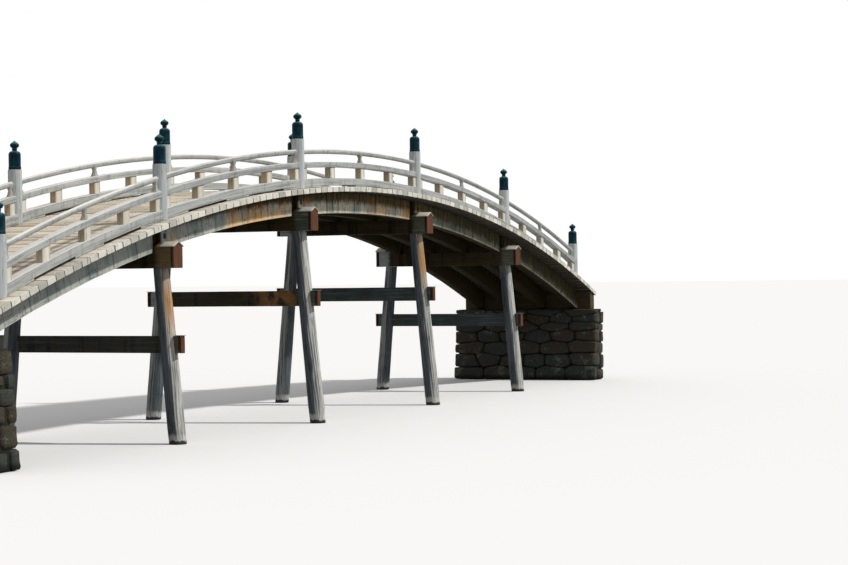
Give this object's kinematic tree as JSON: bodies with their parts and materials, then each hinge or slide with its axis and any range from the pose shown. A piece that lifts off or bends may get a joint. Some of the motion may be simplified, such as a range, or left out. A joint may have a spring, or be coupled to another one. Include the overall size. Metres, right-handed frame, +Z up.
{
  "type": "moon bridge",
  "caption": "Arched timber footbridge on battered column piers, with curved girders, board deck, round handrails, onion finials and stone abutments.",
  "frame": {"origin": "middle of the bridge at water level, under the crown of the arch", "axes": "+X along the bridge, to the right of the picture; +Y across it, to the far parapet; +Z up"},
  "size_m": [25.9, 3.9335, 5.8564],
  "materials": {
    "column_timber": "round logs, weathered grey with dark wet feet and pale worn sides",
    "beam_timber": "squared beams, weathered grey green",
    "girder_timber": "sawn curved girders, brown above and washed blue grey below, with drip stains",
    "deck_timber": "cross boards, bleached and worn",
    "post_timber": "round posts, sun bleached pale grey",
    "rail_timber": "planed rails, sun bleached cream",
    "red_board": "end boards, weathered red brown",
    "pale_cover": "small ridged covers, bleached nearly white",
    "green_bronze": "cast bronze, dark blue green patina",
    "rubble_stone": "rough split stones, mossy and stained"
  },
  "bodies": {
    "root": {"pier_1_columns": "column_timber", "pier_2_columns": "column_timber", "pier_3_columns": "column_timber", "pier_4_columns": "column_timber", "pier_1_cap_beam": "beam_timber", "pier_2_cap_beam": "beam_timber", "pier_3_cap_beam": "beam_timber", "pier_4_cap_beam": "beam_timber", "pier_1_tie_beam": "beam_timber", "pier_2_tie_beam": "beam_timber", "pier_3_tie_beam": "beam_timber", "pier_4_tie_beam": "beam_timber", "cap_beam_end_boards": "red_board", "cap_beam_end_covers": "pale_cover", "tie_beam_end_boards": "red_board", "tie_beam_end_covers": "pale_cover", "bay_1_girders": "girder_timber", "bay_2_girders": "girder_timber", "bay_3_girders": "girder_timber", "bay_4_girders": "girder_timber", "bay_5_girders": "girder_timber", "bay_1_deck": "deck_timber", "bay_2_deck": "deck_timber", "bay_3_deck": "deck_timber", "bay_4_deck": "deck_timber", "bay_5_deck": "deck_timber", "end_beams": "girder_timber", "left_abutment": "rubble_stone", "right_abutment": "rubble_stone", "front_posts": "post_timber", "back_posts": "post_timber", "front_finials": "green_bronze", "back_finials": "green_bronze", "front_sills": "rail_timber", "back_sills": "rail_timber", "front_flat_rails": "rail_timber", "back_flat_rails": "rail_timber", "front_handrails": "rail_timber", "back_handrails": "rail_timber", "front_rail_blocks": "rail_timber", "back_rail_blocks": "rail_timber", "front_rail_struts": "rail_timber", "back_rail_struts": "rail_timber"}
  },
  "joints": []
}
